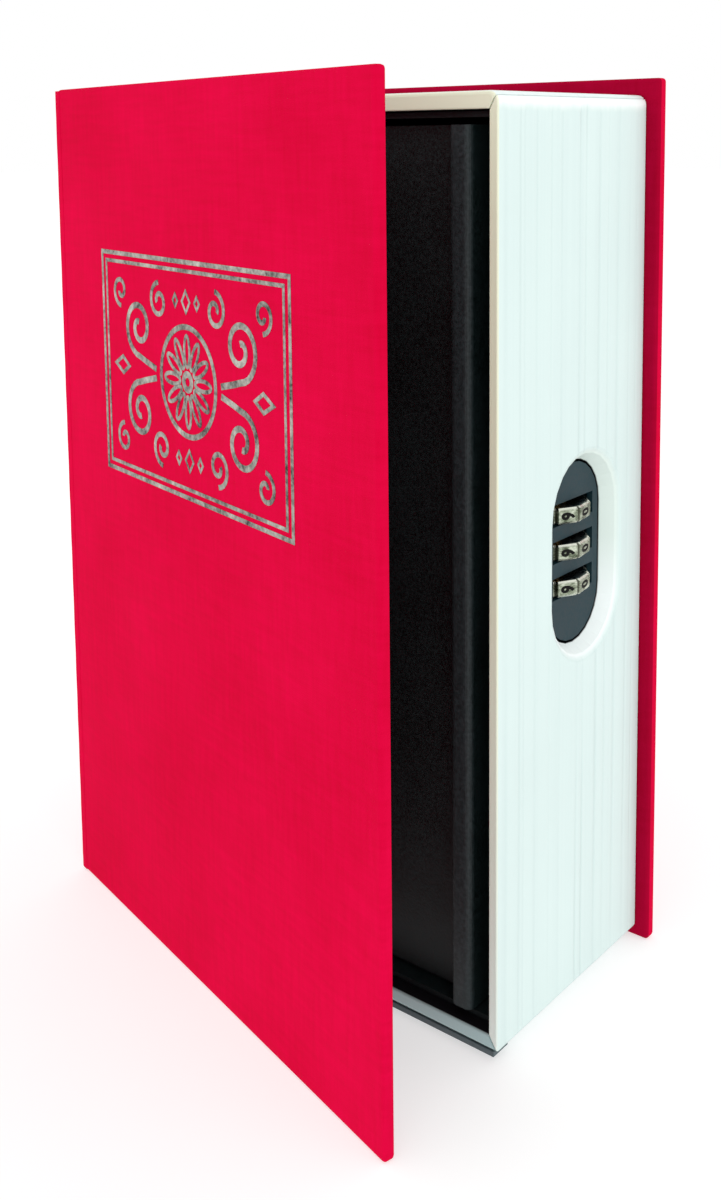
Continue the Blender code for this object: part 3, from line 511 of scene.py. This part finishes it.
# Scrolls of one quarter: stem, centre, side, turns, outer and inner radius, steps, width.
SCROLLS = (
    (STEM, (19.6, 8.6), 1, 1.5, 6.0, 1.0, 40, 1.25),
    ((), (10.9, 14.6), -1, 1.3, 3.7, 0.8, 30, 1.0),
    ((), (27.4, 15.4), 1, 1.2, 3.2, 0.7, 30, 0.95),
)
TIP, TIP_WIDTH = ((24.4, 0), (27.2, 1.7), (30.4, 0), (27.2, -1.7)), 0.8
LOZENGE, LOZENGE_WIDTH = ((-0.9, 0), (0, 1.2), (0.9, 0), (0, -1.2)), 0.6
LOZENGE_ROWS = (-15.4, 15.4)
LOZENGE_SIZES = ((-4.2, 1.0), (0, 1.7), (4.2, 1.0))  # place, size


def foil_stroke(bm, path, width, closed=False):
    """A flat stroke of foil through (a, z) points, a little proud of the cloth."""
    count = len(path)
    loops = []
    for i, point in enumerate(path):
        here = Vector(point)
        before = Vector(path[i - 1]) if closed or i else here
        after = Vector(path[(i + 1) % count]) if closed or i < count - 1 else here
        first = (here - before).normalized() if (here - before).length else (after - here).normalized()
        second = (after - here).normalized() if (after - here).length else first
        side = Vector((-(first + second).y, (first + second).x)).normalized()
        lean = max(FLATTEST_CORNER, side.dot(Vector((-first.y, first.x))))
        side = side * (width / 2 / lean)
        a, b = here + side, here - side
        loops.append([on_cover(a.x, a.y, -FOIL_SUNK), on_cover(a.x, a.y, FOIL_PROUD),
                      on_cover(b.x, b.y, FOIL_PROUD), on_cover(b.x, b.y, -FOIL_SUNK)])
    made = loft(bm, loops, closed)
    if not closed:
        bm.faces.new(made[0])
        bm.faces.new(made[-1])


def rectangle(a0, a1, z0, z1):
    return [(a0, z0), (a1, z0), (a1, z1), (a0, z1)]


def scaled(points):
    """The same points in metres."""
    return [(a * MM, z * MM) for a, z in points]


def from_middle(points, sx=1, sz=1):
    """Points given from the ornament's middle, mirrored by sx and sz."""
    return [(FOIL_MIDDLE[0] + sx * a, FOIL_MIDDLE[1] + sz * z) for a, z in points]


def spiral(centre, first, turns, start, end, flip, steps):
    """A scroll that winds in from radius start to radius end."""
    points = []
    for i in range(steps + 1):
        t = i / steps
        angle = first + flip * turns * 2 * math.pi * t
        radius = start + (end - start) * t
        points.append((centre[0] + radius * math.cos(angle), centre[1] + radius * math.sin(angle)))
    return points


def rosette_petal(turn):
    """One petal of the rosette, turned from the right."""
    petal = []
    for i in range(PETAL_POINTS):
        t = 2 * math.pi * i / PETAL_POINTS
        reach, swing = PETAL_MIDDLE + PETAL_REACH * math.cos(t), PETAL_SWING * math.sin(t)
        petal.append((reach * math.cos(turn) - swing * math.sin(turn),
                      reach * math.sin(turn) + swing * math.cos(turn)))
    return petal


def foil_scrolls(bm, sx, sz):
    """The scrolls of the quarter on side sx and sz of the ornament."""
    for stem, centre, side, turns, outer, inner, steps, width in SCROLLS:
        (middle,) = from_middle([centre], sx, sz)
        path = spiral(middle, -side * sz * math.pi / 2, turns, outer, inner, side * sx * sz, steps)
        if stem:
            path = smooth_path(from_middle(stem, sx, sz))[:-1] + path
        foil_stroke(bm, scaled(path), width * MM)


def build_foil():
    """The double-line frame and a generic ornament of scrolls, bars and a rosette inside it."""
    bm = bmesh.new()
    for sides, width in FRAME_LINES:
        foil_stroke(bm, scaled(rectangle(*sides)), width * MM, True)
    for k in range(PETALS):
        petal = rosette_petal(2 * math.pi * k / PETALS)
        foil_stroke(bm, scaled(from_middle(petal)), PETAL_WIDTH * MM, True)
    for radius, width in RINGS:
        angles = [2 * math.pi * t / RING_POINTS for t in range(RING_POINTS)]
        ring = [(radius * math.cos(angle), radius * math.sin(angle)) for angle in angles]
        foil_stroke(bm, scaled(from_middle(ring)), width * MM, True)
    for sx in (-1, 1):
        for sz in (-1, 1):
            foil_scrolls(bm, sx, sz)
        foil_stroke(bm, scaled(from_middle(TIP, sx)), TIP_WIDTH * MM, True)
    for z in LOZENGE_ROWS:
        for x, size in LOZENGE_SIZES:
            lozenge = [(x + a * size, z + b * size) for a, b in LOZENGE]
            foil_stroke(bm, scaled(from_middle(lozenge)), LOZENGE_WIDTH * MM, True)
    add("foil_ornament", bm, FOIL, "front_cover")


build_foil()


# ---------------------------------------------------------------- lining of the front cover

LINING_INSET, LINING_FROM_HINGE, LINING_THICK = 3.2 * MM, 5 * MM, 0.12 * MM
LINING_RIPPLE = 0.04 * MM
LINING_EDGE = 0.35  # thickness at the glued edge, as a share of the whole


def sheet(name, corner, across, up, thick, material, body, columns=24, rows=36):
    """A thin lining sheet with a very slight ripple, as glued paper has."""
    normal = across.cross(up).normalized()
    if normal.dot(thick) < 0:
        normal = -normal
    depth = thick.length
    bm = bmesh.new()
    grid = []
    for j in range(rows + 1):
        line = []
        for i in range(columns + 1):
            u, v = i / columns, j / rows
            edge = min(u, 1 - u, v, 1 - v)
            swell = min(1.0, edge * 18)
            wave = LINING_RIPPLE * math.sin(11 * u + 3 * v) * math.cos(7 * v - 2 * u)
            lift = depth * (LINING_EDGE + (1 - LINING_EDGE) * swell) + wave * swell
            line.append(bm.verts.new(corner + across * u + up * v + normal * lift))
        grid.append(line)
    for j in range(rows):
        for i in range(columns):
            bm.faces.new((grid[j][i], grid[j][i + 1], grid[j + 1][i + 1], grid[j + 1][i]))
    base = [bm.verts.new(corner + across * u + up * v) for u, v in ((0, 0), (1, 0), (1, 1), (0, 1))]
    bm.faces.new(base)
    border = [grid[0], [row[-1] for row in grid], list(reversed(grid[-1])),
              [row[0] for row in reversed(grid)]]
    for k, side in enumerate(border):
        bm.faces.new([base[k], base[(k + 1) % 4]] + list(reversed(side)))
    return add(name, bm, material, body)


def build_lining():
    """The paper inside the front cover."""
    corner = FOLD + ALONG * (BOARD_NEAR + LINING_FROM_HINGE) + OUT * BOARD_IN
    corner.z = BOARD_LOW.z + LINING_INSET
    reach = ALONG * (BOARD_FAR - BOARD_NEAR - LINING_FROM_HINGE - LINING_INSET)
    sheet("front_lining", corner, reach, Vector((0, 0, HEIGHT - 2 * LINING_INSET)), -OUT * LINING_THICK,
          ENDPAPER, "front_cover")


build_lining()


# ---------------------------------------------------------------- cloth over the hinge

JOINT_INSET = 0.3 * MM  # of the joint's cloth, at the head and the tail
CORD_RINGS, CORD_SIDES, CORD_END = 60, 16, 0.7  # CORD_END narrows the cord's ends
CORD_SWELL, CORD_UNEVEN = 1.05, 0.05
SPINE_STRIP_THICK, STRIP_THICK = 0.3 * MM, 0.2 * MM
CORNER_INSET, CORNER_PROUD = 0.2 * MM, 0.06 * MM


def path_mm(points):
    """A smooth path through (x, y, dx, dy), with dx and dy in millimetres from x and y."""
    return smooth_path([(x + dx * MM, y + dy * MM) for x, y, dx, dy in points])


def strip_of_cloth(name, path, z0, z1, thick, body, rows=30):
    """Cloth of even thickness along a path in x and y, from z0 to z1."""
    bm = bmesh.new()
    points = [Vector((x, y, 0)) for x, y in path]
    outer, inner = [], []
    for i, p in enumerate(points):
        before, after = points[max(i - 1, 0)], points[min(i + 1, len(points) - 1)]
        run = (after - before).normalized()
        side = Vector((-run.y, run.x, 0)) * thick / 2
        outer.append(p + side)
        inner.append(p - side)
    section = outer + list(reversed(inner))
    loops = []
    for k in range(rows + 1):
        z = z0 + (z1 - z0) * k / rows
        loops.append([Vector((p.x, p.y, z)) for p in section])
    made = loft(bm, loops)
    bm.faces.new(made[0])
    bm.faces.new(made[-1])
    return add(name, bm, RED, body)


def build_joint_cloth():
    """A rolled cord of cloth on the fold, with a strip to the spine and a strip to the cover."""
    low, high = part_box("front_joint_cloth")
    z0, z1 = BOARD_LOW.z + JOINT_INSET, BOARD_HIGH.z - JOINT_INSET
    radius = (high.x - low.x) / 2
    bm = bmesh.new()
    loops = []
    angles = [2 * math.pi * t / CORD_SIDES for t in range(CORD_SIDES)]
    for k in range(CORD_RINGS + 1):
        z = z0 + (z1 - z0) * k / CORD_RINGS
        r = radius * (CORD_SWELL + CORD_UNEVEN * math.sin(k * 1.7))
        if k in (0, CORD_RINGS):
            r *= CORD_END
        loops.append([Vector((FOLD.x + r * math.cos(t), FOLD.y + r * math.sin(t), z)) for t in angles])
    made = loft(bm, loops)
    bm.faces.new(made[0])
    bm.faces.new(made[-1])
    roll = add("joint_cord", bm, RED, "cover_joint")
    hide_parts("front_joint_cloth")

    spine_low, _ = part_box("spine_board")
    x, y = spine_low.x, spine_low.y
    to_spine = path_mm([(x, y, -0.15, 6), (x, y, -0.2, 3), (x, y, -0.35, 0.5), (x, y, -0.95, -0.6),
                        (FOLD.x, FOLD.y, -0.1, 1.1), (FOLD.x, FOLD.y, -0.2, 0.5)])
    near = strip_of_cloth("joint_cloth_spine", to_spine, z0, z1, SPINE_STRIP_THICK, None)
    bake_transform(near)
    cover = [FOLD + OUT * (BOARD_OUT + 0.1 * MM) * 0.5 - ALONG * 0.3 * MM,
             FOLD + OUT * (BOARD_OUT - 0.02 * MM) + ALONG * 0.2 * MM,
             FOLD + OUT * (BOARD_OUT + 0.02 * MM) + ALONG * (BOARD_NEAR + 0.4 * MM),
             FOLD + OUT * (BOARD_OUT - 0.05 * MM) + ALONG * (BOARD_NEAR + 1.2 * MM)]
    on_board = smooth_path([(p.x, p.y) for p in cover])
    strip_of_cloth("joint_cloth_cover", on_board, z0, z1, STRIP_THICK, "front_cover")


def build_back_corner_cloth():
    """Cloth carried round the corner between the spine and the back cover, pressed into the seam."""
    spine_low, spine_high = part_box("spine_board")
    x, behind = spine_low.x - CORNER_PROUD, BACK_HIGH.y + CORNER_PROUD
    seam = (spine_high.y + BACK_LOW.y) / 2
    path = path_mm([(x, seam, 0.02, -5), (x, seam, 0, -3), (x, seam, 0, -1.1), (x, seam, 0.3, -0.1),
                    (x, seam, 0.05, 0.8), (x, behind, 0, -0.6), (x, behind, 0.5, 0), (x, behind, 4, 0)])
    low, high = BACK_LOW.z + CORNER_INSET, BACK_HIGH.z - CORNER_INSET
    strip_of_cloth("back_corner_cloth", path, low, high, STRIP_THICK, "case")


build_joint_cloth()
build_back_corner_cloth()


# ---------------------------------------------------------------- digits on the dials

DIGIT_SIZE = 3.8 * MM
DIGIT_HEAVIER = 0.045  # outward offset of the outline, as a share of the size
DIGIT_SQUASH = 0.75  # of its reading width, which runs up the dial
INK_PROUD, INK_DEPTH = 0.02 * MM, 0.05 * MM


def text_points(word, size):
    """Faces of a digit as (points, faces), centred, reading along x with up along y."""
    curve = bpy.data.curves.new("digit", "FONT")
    curve.body = word
    curve.size = size
    curve.align_x = "CENTER"
    curve.align_y = "CENTER"
    curve.offset = DIGIT_HEAVIER * size
    curve.resolution_u = 3
    holder = bpy.data.objects.new("digit", curve)
    scene.collection.objects.link(holder)
    bpy.context.view_layer.update()
    mesh = bpy.data.meshes.new_from_object(holder.evaluated_get(bpy.context.evaluated_depsgraph_get()))
    points = [v.co.copy() for v in mesh.vertices]
    faces = [tuple(p.vertices) for p in mesh.polygons]
    bpy.data.objects.remove(holder)
    bpy.data.meshes.remove(mesh)
    bpy.data.curves.remove(curve)
    low = Vector(map(min, *points))
    high = Vector(map(max, *points))
    shift = (low + high) / 2
    return [p - shift for p in points], faces


def build_digits():
    """Ten filled digits round each dial, one to a face."""
    digits = [text_points(str(n), DIGIT_SIZE) for n in range(DIGITS)]
    for number, body in enumerate(("lower_dial", "middle_dial", "upper_dial"), 1):
        middle = Vector(JOINTS[f"{body}_spin"]["pos_m"])
        bm = bmesh.new()
        for n, (points, faces) in enumerate(digits):
            turn = Matrix.Rotation(FACE_TURN + n * ONE_DIGIT, 3, "Z")
            flat = [Vector((FACE_RADIUS + INK_PROUD, -p.y, p.x * DIGIT_SQUASH)) for p in points]
            verts = [bm.verts.new(middle + turn @ p) for p in flat]
            for f in faces:
                bm.faces.new([verts[i] for i in f])
        made = bmesh.ops.extrude_face_region(bm, geom=list(bm.faces))
        for v in [g for g in made["geom"] if isinstance(g, bmesh.types.BMVert)]:
            outward = Vector((v.co.x - middle.x, v.co.y - middle.y, 0))
            v.co -= outward.normalized() * INK_DEPTH
        add(f"dial_{number}_digits", bm, INK, body, 30)


build_digits()


# ---------------------------------------------------------------- floor, light and camera

FLOOR_HALF, FLOOR_GAP = 6, 0.2 * MM
FLOOR_GREYS, FLOOR_GLOW = (0.50, 0.52), 0.55
# Name, place, target, size, power and colour.
LIGHTS = (
    ("key", (0.55, -0.75, 0.75), (0, 0, 0.1), 0.9, 1.4, (1, 1, 1)),
    ("front_fill", (-0.7, -0.9, 0.14), (0, 0, 0.05), 0.8, 1.1, (0.96, 0.93, 1.0)),
    ("side_fill", (0.9, 0.1, 0.35), (0, 0, 0.09), 0.6, 0.6, (1, 1, 1)),
)
# The camera was solved from the photo. Its place is given from the fore-edge, the rim and the tail.
CAMERA_PLACE = (FORE_X + 129.05 * MM, RIM_Y - 192.99 * MM, BOARD_LOW.z + 168.92 * MM)
CAMERA_DOWN, CAMERA_TURN, CAMERA_ROLL = 6.786, 39.557, -0.607  # in degrees
CAMERA_LENS, CAMERA_SENSOR, CAMERA_SHIFT, CAMERA_CLIP = 40.89, 36, -0.25, 0.01


def build_stage():
    """A pale floor that glows a little, and an even white world."""
    bm = bmesh.new()
    bmesh.ops.create_grid(bm, x_segments=1, y_segments=1, size=FLOOR_HALF)
    mesh = bpy.data.meshes.new("floor")
    bm.to_mesh(mesh)
    bm.free()
    floor = bpy.data.objects.new("floor", mesh)
    scene.collection.objects.link(floor)
    floor.location.z = CAD_LOW.z - FLOOR_GAP
    m = Nodes("floor_pale", 0.9, Specular_IOR_Level=0.1)
    darker, lighter = ((grey,) * 3 for grey in FLOOR_GREYS)
    m.colour(m.ramp(m.noise(3), (0.3, darker), (0.7, lighter)))
    m.shader.inputs["Emission Color"].default_value = (1, 1, 1, 1)
    m.shader.inputs["Emission Strength"].default_value = FLOOR_GLOW
    mesh.materials.append(m.mat)
    world = bpy.data.worlds.new("studio")
    world.use_nodes = True
    background = world.node_tree.nodes["Background"]
    background.inputs["Color"].default_value = (1, 1, 1, 1)
    background.inputs["Strength"].default_value = 1.0
    scene.world = world


def area_light(name, place, target, size, power, colour):
    """A square light that faces its target."""
    light = bpy.data.lights.new(name, "AREA")
    light.color = colour
    light.size = size
    light.energy = power
    obj = bpy.data.objects.new(name, light)
    scene.collection.objects.link(obj)
    obj.location = place
    obj.rotation_euler = (Vector(target) - Vector(place)).to_track_quat("-Z", "Y").to_euler()


def build_camera():
    """A camera in front of the fore-edge, a little above the head, looking towards the spine."""
    down, turn, roll = (math.radians(angle) for angle in (CAMERA_DOWN, CAMERA_TURN, CAMERA_ROLL))
    ahead = Vector((-math.sin(turn) * math.cos(down), math.cos(turn) * math.cos(down), -math.sin(down)))
    right = Vector((math.cos(turn), math.sin(turn), 0))
    up = right.cross(ahead)
    x_axis = right * math.cos(roll) + up * math.sin(roll)
    y_axis = up * math.cos(roll) - right * math.sin(roll)
    matrix = Matrix((x_axis, y_axis, -ahead)).transposed().to_4x4()
    matrix.translation = CAMERA_PLACE
    data = bpy.data.cameras.new("camera")
    data.lens = CAMERA_LENS
    data.sensor_width = CAMERA_SENSOR
    data.shift_y = CAMERA_SHIFT
    data.clip_start = CAMERA_CLIP
    camera = bpy.data.objects.new("camera", data)
    scene.collection.objects.link(camera)
    camera.matrix_world = matrix
    scene.camera = camera


build_stage()
for settings in LIGHTS:
    area_light(*settings)
build_camera()
